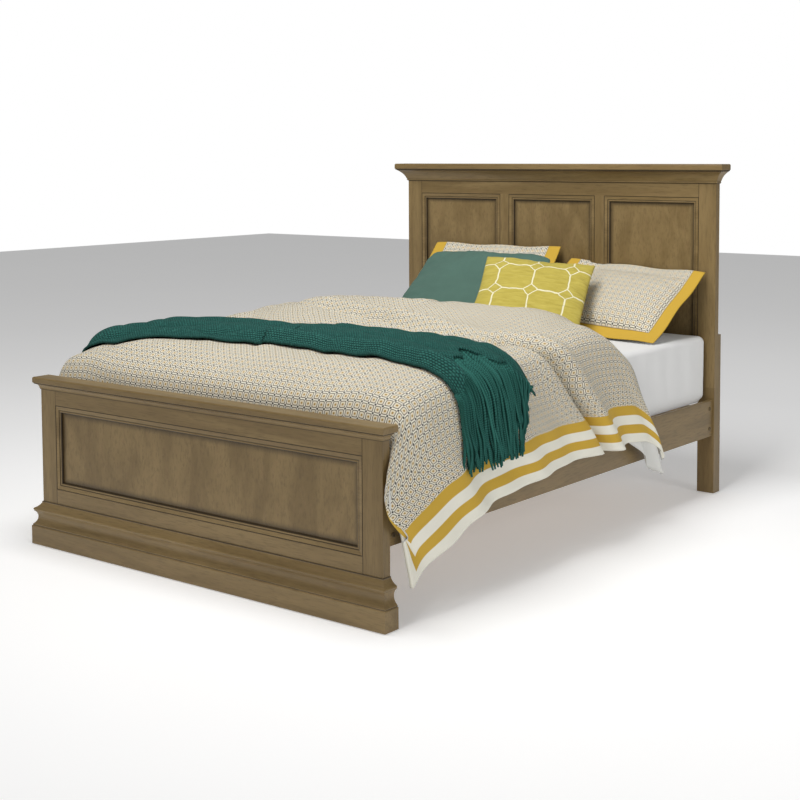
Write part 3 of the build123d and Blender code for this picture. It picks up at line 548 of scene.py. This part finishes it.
def make_object(name, bm, material, thickness=0.0, offset=-1.0):
    mesh = bpy.data.meshes.new(name)
    bm.to_mesh(mesh)
    bm.free()
    made = bpy.data.objects.new(name, mesh)
    bpy.context.scene.collection.objects.link(made)
    for one in material if isinstance(material, (list, tuple)) else [material]:
        mesh.materials.append(one)
    if thickness:
        modifier = made.modifiers.new("thickness", "SOLIDIFY")
        modifier.thickness = thickness
        modifier.offset = offset
        modifier.use_even_offset = False
        if isinstance(material, (list, tuple)) and len(material) > 1:
            modifier.material_offset = 1
    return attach(made, "root")


def curve(keys, rows):
    """A smooth line through rows of numbers at rising keys; the result is read with line(at)."""
    keys = np.asarray(keys, float)
    rows = np.asarray(rows, float)
    slope = np.gradient(rows, keys, axis=0)
    steps = np.diff(keys)
    inner = keys[1:-1].tolist()

    def line(at):
        i = bisect.bisect_right(inner, at)
        h = steps[i]
        t = min(max((at - keys[i]) / h, 0.0), 1.0)
        a, b = 2 * t**3 - 3 * t**2 + 1, t**3 - 2 * t**2 + t
        c, d = -2 * t**3 + 3 * t**2, t**3 - t**2
        return (a * rows[i] + b * h * slope[i] + c * rows[i + 1] + d * h * slope[i + 1]).tolist()

    return line


def soft_noise(x, y, z, scale):
    return noise.noise(Vector((x, y, z)) * scale)


# Comforter: stations along the bed (v) and places across the cloth (u), in metres
# Each station has the middle (y, z), the shoulder (y, z) and the hem (y, z), measured from the foot of the bed
V = (0.00, 0.15, 0.22, 0.28, 0.40, 0.60, 0.85, 1.05, 1.25, 1.45, 1.55, 1.62, 1.70, 1.75)
MIDDLE = ((0.082, 0.375), (0.082, 0.525), (0.085, 0.592), (0.100, 0.650), (0.185, 0.722), (0.375, 0.748),
          (0.625, 0.752), (0.825, 0.756), (1.020, 0.786), (1.215, 0.816), (1.315, 0.822), (1.385, 0.802),
          (1.450, 0.738), (1.476, 0.697))
SHOULDER = ((0.082, 0.392), (0.082, 0.520), (0.088, 0.596), (0.116, 0.664), (0.200, 0.704), (0.385, 0.730),
            (0.625, 0.744), (0.820, 0.750), (1.015, 0.768), (1.195, 0.782), (1.290, 0.778), (1.350, 0.758),
            (1.420, 0.718), (1.455, 0.697))
HEM_LINE = ((0.127, 0.110), (0.262, 0.190), (0.330, 0.222), (0.385, 0.250), (0.492, 0.282), (0.675, 0.308),
            (0.905, 0.334), (1.090, 0.340), (1.270, 0.340), (1.450, 0.338), (1.545, 0.325), (1.590, 0.300),
            (1.635, 0.262), (1.655, 0.245))
LENGTH = V[-1]
ACROSS = (0.0, 0.28, 0.50, 0.66, 0.735, 0.79, 0.86, 0.95, 1.06, CLOTH_HALF)


MIDDLE_LINE, SHOULDER_LINE, HEM_CURVE = curve(V, MIDDLE), curve(V, SHOULDER), curve(V, HEM_LINE)


@functools.lru_cache(maxsize=2000)
def comforter_row(v, side):
    """The control points across the cloth at station v, from the middle to the hem on one side."""
    my, mz = MIDDLE_LINE(v)
    sy, sz = SHOULDER_LINE(v)
    hy, hz = HEM_CURVE(v)
    tuck = max(0.0, 1.0 - v / 0.16)
    head = max(0.0, (v - 1.45) / 0.30)
    out = 0.830 + 0.012 * min(1.0, v / 0.2)
    bulge = 0.085 * head if side > 0 else 0.04 * head
    round_end = math.exp(-((v - 0.16) / 0.085) ** 2) if side > 0 else 0.0
    low = sz - 0.085 + 0.055 * tuck
    points = [
        (0.0, my, mz),
        (0.28, my, mz),
        (0.50, my + bulge, mz * 0.8 + sz * 0.2),
        (0.64, sy + bulge * 0.8, sz),
        (0.715, sy, sz - 0.006),
        (0.772 + 0.016 * tuck, sy - 0.01 * head, sz - 0.030 + 0.02 * tuck),
        (0.808 - 0.010 * tuck, sy * 0.94 + hy * 0.06 - 0.068 * round_end, low),
        (0.826 - 0.016 * tuck, sy * 0.68 + hy * 0.32 - 0.125 * round_end, low * 0.66 + hz * 0.34),
        (out - 0.004, sy * 0.34 + hy * 0.66 - 0.080 * round_end, low * 0.33 + hz * 0.67),
        (out, hy, hz),
    ]
    return curve(ACROSS, points)


def comforter_point(u, v, wave=True):
    side = 1.0 if u >= 0 else -1.0
    x, y, z = comforter_row(v, side)(abs(u))
    if wave:
        # soft quilting waves on top, folds that fan out down the side, and the deep fold by the right shoulder
        top = max(0.0, 1.0 - abs(u) / 0.78)
        drop = min(1.0, max(0.0, (abs(u) - 0.80) / 0.3))
        free = min(1.0, max(0.0, (v - 0.25) / 0.15))
        flat = max(0.0, 1.0 - max(0.0, abs(u) - 0.70) / 0.10)
        z += free * flat * (0.013 * soft_noise(u, v * 2.0, side, 2.6) + 0.006 * soft_noise(u * 2.0,
                                                                                           v, 4.0, 6.5))
        x += drop * (0.013 * math.sin(v * 14.0 + 1.3 * side + 2.0 * u) + 0.005 * math.sin(v * 33.0 + 2.0))
        x += (1 - flat) * 0.006 * soft_noise(u * 1.4, v, 7.0, 7.0)
        if side > 0:
            line = 1.12 + 0.10 * (abs(u) - 0.70) / 0.45 + 0.02 * math.sin(u * 9.0)
            near = math.exp(-((v - line) / 0.019) ** 2) * min(1.0, max(0.0, (abs(u) - 0.50) / 0.15))
            swell = math.exp(-((v - line - 0.070) / 0.050) ** 2) * min(1.0, max(0.0, (abs(u) - 0.42) / 0.2))
            x += (0.030 * swell - 0.054 * near) * min(1.0, max(0.0, (abs(u) - 0.70) / 0.1))
            z += (0.026 * swell - 0.054 * near) * max(0.0, 1.0 - max(0.0, abs(u) - 0.72) / 0.12)
        ridge = math.exp(-((v - 1.30 + 0.28 * u) / 0.035) ** 2) * top
        valley = math.exp(-((v - 1.230 + 0.28 * u) / 0.028) ** 2) * top
        z += 0.024 * ridge - 0.036 * valley
    return Vector((x * side, y + FOOT, z))


PRINTED = comforter_material(LENGTH)
LINING = plain_cloth("comforter lining", rgb(0.72, 0.72, 0.69))
comforter = grid_piece(
    "comforter_cover", 236, 176,
    lambda s, t: comforter_point((s * 2 - 1) * CLOTH_HALF, t * LENGTH),
    lambda s, t: ((s * 2 - 1) * CLOTH_HALF, t * LENGTH),
    [PRINTED, LINING], HEM, measured=True)
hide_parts("comforter")


# The white layer under the comforter: it shows past the head edge and hangs lower at the corner
def lining_point(s, t):
    u = (s * 2 - 1) * (CLOTH_HALF - 0.004)
    v = 1.30 + t * (LENGTH - 1.30)
    p = comforter_point(u, v)
    ahead = comforter_point(u, LENGTH, False) - comforter_point(u, LENGTH - 0.03, False)
    reach = 0.026 * max(0.0, (t - 0.8) / 0.2)
    p = p + ahead.normalized() * reach
    inward = min(1.0, max(0.0, (abs(u) - 0.70) / 0.12))
    side = 1.0 if u >= 0 else -1.0
    p.z -= 0.018 * (1 - inward)
    p.x -= side * 0.018 * inward
    low = min(1.0, max(0.0, (abs(u) - 0.98) / 0.2)) * min(1.0, max(0.0, (t - 0.30) / 0.35))
    p.z -= 0.075 * low * (1.0 if side > 0 else 0.5) * (1.25 - 0.55 * max(0.0, t - 0.75) / 0.25)
    p.x += side * low * (0.012 * math.sin(t * 16.0))
    return p


lining = grid_piece(
    "comforter_underlayer", 200, 40, lining_point,
    lambda s, t: ((s * 2 - 1) * CLOTH_HALF, 1.30 + t * (LENGTH - 1.30)), LINING, 0.002)
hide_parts("comforter")


# Throw: it follows the comforter a little above it, gathered into long folds
THROW_HALF = 0.93


STATIONS = np.linspace(0.2, 1.6, 60)
STATION_Y = [comforter_point(0.3, v, False).y - FOOT for v in STATIONS]


def comforter_v_at(y):
    return float(np.interp(y, STATION_Y, STATIONS))


V_LOW, V_HIGH = comforter_v_at(0.350), comforter_v_at(0.790)


def ease(value):
    value = min(1.0, max(0.0, value))
    return value * value * (3 - 2 * value)


def throw_u(s, t):
    """Across the cloth: the right end is cut back in the middle of the throw, where it lies bunched at the shoulder."""
    w = s * 2 - 1
    if w < 0:
        return w * (THROW_HALF - 0.05)
    reach = 0.735 + 0.150 * abs(2 * t - 0.9) ** 1.6
    return w * (reach + 0.012 * math.sin(t * 38.0))


def throw_point(s, t, lift_more=0.0):
    u = throw_u(s, t)
    left, right = ease((-u - 0.35) / 0.5), ease((u - 0.45) / 0.4)
    low = V_LOW + 0.022 * math.sin(u * 5.1 + 0.4) - 0.160 * left + 0.01 * right
    high = V_HIGH + 0.016 * math.sin(u * 4.7 + 1.0) - 0.080 * left - 0.045 * right
    v = low + (high - low) * t
    p = comforter_point(u, v)
    across = comforter_point(u + 0.01, v) - p
    along = comforter_point(u, v + 0.01) - p
    normal = across.cross(along).normalized()
    drift = 1.1 * math.sin(u * 2.6) + 0.5 * math.sin(u * 6.1 + 1.0)
    fold = abs(math.sin(t * 7.6 + drift + 0.5)) ** 0.75
    crease = abs(math.sin(t * 15.5 - 1.3 * drift + 1.0)) ** 0.8
    lift = 0.007 + (0.031 * fold + 0.015 * crease) * (1 - 0.6 * t) * ease(t * 9.0) * ease((1 - t) * 9.0)
    lift += 0.004 * soft_noise(u, v, 2.0, 9.0) + lift_more
    return p + normal * lift


KNIT = knit_material("teal knit")
throw = grid_piece(
    "knitted_throw", 200, 100, throw_point,
    lambda s, t: (throw_u(s, t), t * 0.75), KNIT, 0.007, 1.0)
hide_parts("throw")


def add_strand(bm, layer, path, radius, number):
    """One twisted strand: a grid rolled into a tube, its seam and its ends closed."""
    sides, steps = 5, 11
    own = bmesh.ops.create_grid(bm, x_segments=sides, y_segments=steps, size=0.5)["verts"]
    flat = {}
    for vert in own:
        s, t = vert.co.x + 0.5, vert.co.y + 0.5
        f = t * (len(path) - 1)
        i = min(int(f), len(path) - 2)
        middle = path[i].lerp(path[i + 1], f - i)
        run = (path[i + 1] - path[i]).normalized()
        one = run.cross(Vector((0.0, 1.0, 0.0))).normalized()
        two = run.cross(one)
        wide = radius * (0.6 if t > 0.97 else 1.0)
        angle = -2 * math.pi * s
        flat[vert] = (s + number, t * 0.25)
        vert.co = middle + (one * math.cos(angle) + two * math.sin(angle)) * wide
    faces = {f for vert in own for f in vert.link_faces}
    for face in faces:
        face.smooth = True
        for loop in face.loops:
            loop[layer].uv = flat[loop.vert]
    bmesh.ops.remove_doubles(bm, verts=own, dist=radius * 0.02)


def fringe(name, side, seed):
    rng = np.random.default_rng(seed)
    bm = bmesh.new()
    layer = bm.loops.layers.uv.new("cloth")
    count = 112
    for k in range(count):
        t = (k + 0.5) / count
        end = 0.5 + side * 0.49
        start = throw_point(end, t, 0.003)
        u_start = abs(throw_u(end, t))
        y_start = start.y - FOOT
        foot_end, head_end = (0.405, 0.725) if side > 0 else (0.36, 0.70)
        y_end = y_start * 0.30 + (foot_end + (head_end - foot_end) * t) * 0.70 + rng.normal(0, 0.010)
        bottom = 0.400 + 0.050 * rng.random() + (0.03 if k % 5 == 0 else 0.0) + 0.14 * ease((t - 0.80) / 0.2)
        apart = 0.006 + 0.0075 * (k % 3)
        u_end = 0.79 + (0.700 - bottom)
        path = [start]
        for j in range(1, 12):
            f = j / 11
            u = u_start + (u_end - u_start) * f
            y = y_start + (y_end - y_start) * ease(f) + 0.010 * math.sin(f * 7 + k * 1.7) * f
            on = comforter_point(side * u, comforter_v_at(y))
            on.y = y + FOOT
            slope = ease((u - 0.66) / 0.16)
            away = apart + 0.010 * (1 - f)
            on.x += side * away * slope
            on.z += away * (1 - slope)
            on.x = side * min(abs(on.x), 0.872)
            path.append(on)
        add_strand(bm, layer, path, 0.0052, k)
    bmesh.ops.holes_fill(bm, edges=[e for e in bm.edges if e.is_boundary], sides=8)
    bmesh.ops.recalc_face_normals(bm, faces=bm.faces)
    made = make_object(name, bm, YARN)
    return made


YARN = yarn_material("teal yarn")
right_fringe = fringe("throw_fringe_right", 1.0, 3)
left_fringe = fringe("throw_fringe_left", -1.0, 4)
for piece in (right_fringe, left_fringe):
    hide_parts("throw")


# Pillows
sheet_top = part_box("fitted_sheet")[1].z


def pillow_piece(name, node, size, angles, material, back, flange=0.0, pinch=0.03, soft=0.0, seed=0,
                 shift=(0.0, 0.0, 0.0)):
    """A stuffed case: two crowned faces that meet at a seam pulled in between the corners, with a flat flange outside it."""
    nx, ny = ((110, 80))
    bm = bmesh.new()
    layer = bm.loops.layers.uv.new("cloth")
    width, height, thick = size
    turn, tilt, roll = (math.radians(a) for a in angles)
    low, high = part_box(node)
    place = (Matrix.Translation((low + high) / 2 + Vector(shift)) @ Matrix.Rotation(turn, 4, "Z")
             @ Matrix.Rotation(tilt, 4, "X") @ Matrix.Rotation(roll, 4, "Z"))
    for face_sign in (1.0, -1.0):
        own = bmesh.ops.create_grid(bm, x_segments=nx, y_segments=ny, size=0.5)["verts"]
        flat = {}
        for vert in own:
            a, b = vert.co.x * 2, vert.co.y * 2
            x, y = a * width / 2, b * height / 2
            flat[vert] = (x, y)
            corner = 1 - soft * (a * b) ** 4
            sx = x * (1 - pinch * (1 - b * b) * abs(a) ** 3) * corner
            sy = y * (1 - pinch * 1.3 * (1 - a * a) * abs(b) ** 3) * corner
            ia = min(1.0, abs(x) / (width / 2 - flange))
            ib = min(1.0, abs(y) / (height / 2 - flange))
            crown = ((1 - ia ** 2.6) * (1 - ib ** 2.6)) ** 0.62
            rim = 1.0 if max(abs(a), abs(b)) < 0.999 else 0.0
            z = crown * thick / 2 + 0.0016 * rim
            pucker = (1 - crown) * crown * 4
            along = x * 95 if ib > ia else y * 95
            z += pucker * 0.0022 * math.sin(along + 3 * soft_noise(x, y, seed, 9.0)) * rim
            z += crown * 0.007 * soft_noise(x * 1.3, y, seed + 2.0,
                                            5.5) + crown * 0.003 * soft_noise(x, y * 1.5, seed, 16.0)
            wave = 0.004 * math.sin(x * 23 + seed) * abs(b) ** 4 + 0.004 * math.sin(y * 27 + seed) * abs(a) ** 4
            vert.co = place @ Vector((sx, sy, face_sign * z + wave))
            vert.co.z = max(vert.co.z, sheet_top + 0.0015 * (1.5 + face_sign))
        faces = {f for vert in own for f in vert.link_faces}
        for face in faces:
            face.smooth = True
            face.material_index = 0 if face_sign > 0 else 1
            for loop in face.loops:
                loop[layer].uv = flat[loop.vert]
        if face_sign < 0:
            bmesh.ops.reverse_faces(bm, faces=list(faces))
    bmesh.ops.remove_doubles(bm, verts=bm.verts, dist=0.0002)
    made = make_object(name, bm, [material, back])
    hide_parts(node)
    return made


SHAM = sham_material(0.340, 0.2325)
SHAM_BACK = plain_cloth("sham back", rgb(0.80, 0.80, 0.77))
TEAL = plain_cloth("teal cotton", rgb(0.088, 0.168, 0.135), 0.0018, 0.3, 0.1)
YELLOW = cushion_material()
left_sham = pillow_piece("left_sham_cover", "left_sham", (0.69, 0.465, 0.115), (0, 45, 0),
                         SHAM, SHAM_BACK, 0.06, 0.02, 0.02, 1.0)
right_sham = pillow_piece("right_sham_cover", "right_sham", (0.675, 0.465, 0.115), (0, 34, -4),
                          SHAM, SHAM_BACK, 0.06, 0.02, 0.02, 2.0, (-0.016, 0.0, -0.012))
teal_pillow = pillow_piece("teal_pillow_cover", "teal_pillow", (0.66, 0.465, 0.108), (0, 41, 0),
                           TEAL, TEAL, 0.0, 0.02, 0.10, 3.0, (-0.03, 0.0, 0.0))
cushion = pillow_piece("yellow_cushion_cover", "yellow_cushion", (0.455, 0.44, 0.100), (28, 40, -7),
                       YELLOW, YELLOW, 0.0, 0.04, 0.0, 4.0, (-0.030, -0.016, 0.004))


# Mattress and fitted sheet
def rounded_block(low, high, radius, step, shape):
    bm = bmesh.new()
    layer = bm.loops.layers.uv.new("cloth")
    bmesh.ops.create_cube(bm, size=1.0)
    for vert in bm.verts:
        vert.co = Vector([low[i] + (vert.co[i] + 0.5) * (high[i] - low[i]) for i in range(3)])
    bmesh.ops.bevel(bm, geom=bm.edges[:], offset=radius, segments=6, profile=0.5, affect="EDGES", material=-1)
    for axis in range(3):
        count = max(1, int((high[axis] - low[axis] - 2 * radius) / step))
        for k in range(count + 1):
            at = low[axis] + radius + (high[axis] - low[axis] - 2 * radius) * k / count
            point, normal = Vector((0, 0, 0)), Vector((0, 0, 0))
            point[axis], normal[axis] = at, 1.0
            bmesh.ops.bisect_plane(bm, geom=bm.verts[:] + bm.edges[:] + bm.faces[:], plane_co=point,
                                   plane_no=normal, dist=1e-6)
    bm.normal_update()
    moved = {vert: shape(vert.co, vert.normal) for vert in bm.verts}
    for face in bm.faces:
        face.smooth = True
        n = face.normal
        for loop in face.loops:
            c = loop.vert.co
            loop[layer].uv = (c.x, c.y) if abs(n.z) > 0.7 else ((c.y, c.z) if abs(n.x) > 0.7 else (c.x, c.z))
    for vert, place in moved.items():
        vert.co = place
    return bm


def sheet_shape(co, normal):
    """Vertical wrinkles on the sides that die out on top, a faint ripple on top, and the rounded lower edge of each
    long side squared off.
    """
    upright = 1 - abs(normal.z)
    along = co.y if abs(normal.x) > abs(normal.y) else co.x
    wrinkle = 0.0026 * math.sin(along * 46 + 5 * soft_noise(along, co.z * 0.4, 1.0,
                                                            2.2)) + 0.0016 * soft_noise(along,
                                                                                        co.z * 0.35, 3.0, 26.0)
    top = 0.0022 * soft_noise(co.x, co.y, 2.0, 5.0)
    within = sheet_low.y + 0.032 < co.y < sheet_high.y - 0.032
    if within and co.z < sheet_low.z + 0.032 and abs(co.x) > sheet_high.x - 0.032:
        return Vector((math.copysign(sheet_high.x - 0.0035, co.x), co.y, co.z))
    moved = co + normal * (upright * (wrinkle - 0.003) - 0.0005) + Vector((0, 0,
                                                                           1)) * top * max(0.0, normal.z)
    return moved


sheet_low, sheet_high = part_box("fitted_sheet")
bed_low, bed_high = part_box("mattress")
bm = rounded_block(sheet_low + Vector((0, 0, 0.001)), sheet_high - Vector((0, 0, 0.001)), 0.030,
                   0.035, sheet_shape)
under = [f for f in bm.faces if f.normal.z < -0.9 and max(abs(v.co.x) for v in f.verts) < sheet_high.x - 0.12
         and max(abs(v.co.y - (sheet_low.y + sheet_high.y) / 2) for v in f.verts) < (sheet_high.y - sheet_low.y) / 2 - 0.12]
bmesh.ops.delete(bm, geom=under, context="FACES")
SHEET = plain_cloth("white cotton sheet", rgb(0.80, 0.80, 0.79), 0.0012, 0.15, 0.02)
sheet = make_object("fitted_sheet_cover", bm, SHEET, 0.0015)
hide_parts("fitted_sheet")


def mattress_shape(co, normal):
    tuft = 0.5 + 0.5 * math.cos(co.x * 2 * math.pi / 0.19) * math.cos(co.y * 2 * math.pi / 0.19)
    return co - normal * (0.006 + 0.002 * tuft * abs(normal.z))


bm = rounded_block(bed_low + Vector((0.002, 0.002, 0.002)), bed_high - Vector((0.002, 0.002, 0.002)), 0.032,
                   0.045, mattress_shape)
TICKING = plain_cloth("mattress ticking", rgb(0.72, 0.70, 0.66), 0.004, 0.5, 0.05)
mattress = make_object("mattress_body", bm, TICKING)
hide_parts("mattress")


# Floor, light and camera
def make_floor():
    bm = bmesh.new()
    bmesh.ops.create_grid(bm, x_segments=1, y_segments=1, size=14.0)
    material, tree, shader = start_material("pale floor")
    coords = put(tree, "ShaderNodeTexCoord").outputs["Object"]
    cloud = put(tree, "ShaderNodeTexNoise", {"Vector": coords, "Scale": 0.6}).outputs[0]
    tree.links.new(mix(tree, cloud, rgb(0.86, 0.86, 0.86), rgb(0.90, 0.90, 0.90)),
                   shader.inputs["Base Color"])
    shader.inputs["Roughness"].default_value = 0.8
    shader.inputs["Emission Color"].default_value = (1.0, 1.0, 1.0, 1.0)
    shader.inputs["Emission Strength"].default_value = 0.24
    mesh = bpy.data.meshes.new("floor")
    bm.to_mesh(mesh)
    bm.free()
    mesh.materials.append(material)
    floor = bpy.data.objects.new("floor", mesh)
    bpy.context.scene.collection.objects.link(floor)


def add_area(name, place, aim, size, power, colour=(1.0, 1.0, 1.0)):
    light = bpy.data.lights.new(name, "AREA")
    light.shape = "SQUARE"
    light.size = size
    light.energy = power
    light.color = colour
    made = bpy.data.objects.new(name, light)
    made.location = place
    made.rotation_mode = "QUATERNION"
    made.rotation_quaternion = (Vector(aim) - Vector(place)).to_track_quat("-Z", "Y")
    bpy.context.scene.collection.objects.link(made)


make_floor()
world = bpy.data.worlds.new("soft studio")
bpy.context.scene.world = world
world.use_nodes = True
background = world.node_tree.nodes["Background"]
background.inputs[0].default_value = (1.0, 1.0, 1.0, 1.0)
seen = put(world.node_tree, "ShaderNodeLightPath").outputs["Is Camera Ray"]
world.node_tree.links.new(calc(world.node_tree, "MULTIPLY_ADD", seen, 0.77, 0.23), background.inputs[1])
add_area("front light", (2.0, -14.0, 8.5), (0.0, 0.0, 0.6), 4.0, 640.0, (1.0, 0.98, 0.95))
add_area("top light", (0.2, -0.9, 3.8), (0.0, 1.0, 0.9), 2.0, 98.0)
add_area("right light", (5.6, -0.6, 2.2), (0.5, 0.2, 0.6), 2.0, 55.0)

camera_data = bpy.data.cameras.new("camera")
camera_data.lens = 65.366
camera_data.sensor_width = 36.0
camera_data.shift_y = -0.1813
camera_data.clip_end = 60.0
camera = bpy.data.objects.new("camera", camera_data)
yaw, pitch, roll = math.radians(38.4002), math.radians(4.0790), math.radians(-0.2823)
camera.matrix_world = (Matrix.Translation((3.43683, -4.33838, 1.40941)) @ Matrix.Rotation(yaw, 4, "Z")
                       @ Matrix.Rotation(math.pi / 2 - pitch, 4, "X") @ Matrix.Rotation(roll, 4, "Z"))
bpy.context.scene.collection.objects.link(camera)
bpy.context.scene.camera = camera
bpy.context.scene.view_settings.view_transform = "Standard"
